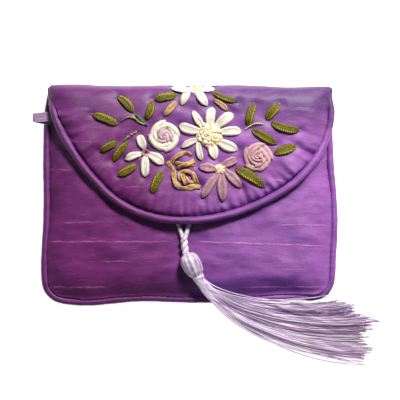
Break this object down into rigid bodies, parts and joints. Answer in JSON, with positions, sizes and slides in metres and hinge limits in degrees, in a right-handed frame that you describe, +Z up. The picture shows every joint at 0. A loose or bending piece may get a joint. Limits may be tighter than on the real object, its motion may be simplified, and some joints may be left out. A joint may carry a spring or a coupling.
{
  "type": "chinese embroidered purse",
  "caption": "Small padded silk pouch purse with a rounded flap, ribbon embroidery of flowers and leaves, corded edges, a side loop and a tassel.",
  "frame": {"origin": "middle of the back panel, on the flat of its outer face that the purse lies on", "axes": "+X to the right across the purse as seen from the front, +Y to the folded top edge, +Z up out of the flap"},
  "size_m": [0.1586, 0.1271, 0.0209],
  "materials": {
    "purple_silk": "satin",
    "purple_piping": "satin",
    "lilac_satin": "satin",
    "lilac_silk_thread": "satin",
    "green_ribbon": "satin",
    "gold_ribbon": "satin",
    "cream_ribbon": "satin",
    "pink_ribbon": "satin",
    "nickel_steel": "polished"
  },
  "bodies": {
    "root": {"back_and_flap": "purple_silk", "front_panel": "purple_silk", "edge_piping": "purple_piping", "press_stud": "nickel_steel", "side_loop": "lilac_satin", "tassel_cord": "lilac_silk_thread", "tassel": "lilac_silk_thread", "leaf_1": "green_ribbon", "leaf_2": "green_ribbon", "leaf_3": "green_ribbon", "leaf_4": "green_ribbon", "leaf_5": "green_ribbon", "leaf_6": "green_ribbon", "leaf_7": "green_ribbon", "leaf_8": "green_ribbon", "leaf_9": "green_ribbon", "leaf_10": "green_ribbon", "leaf_11": "green_ribbon", "leaf_12": "green_ribbon", "leaf_13": "green_ribbon", "leaf_14": "green_ribbon", "leaf_15": "green_ribbon", "gold_leaf_1": "gold_ribbon", "gold_leaf_2": "gold_ribbon", "gold_knot": "gold_ribbon", "top_daisy": "cream_ribbon", "daisy": "cream_ribbon", "four_petal_flower": "cream_ribbon", "white_rose": "cream_ribbon", "pink_flower": "pink_ribbon", "pink_rose": "pink_ribbon"}
  },
  "joints": []
}
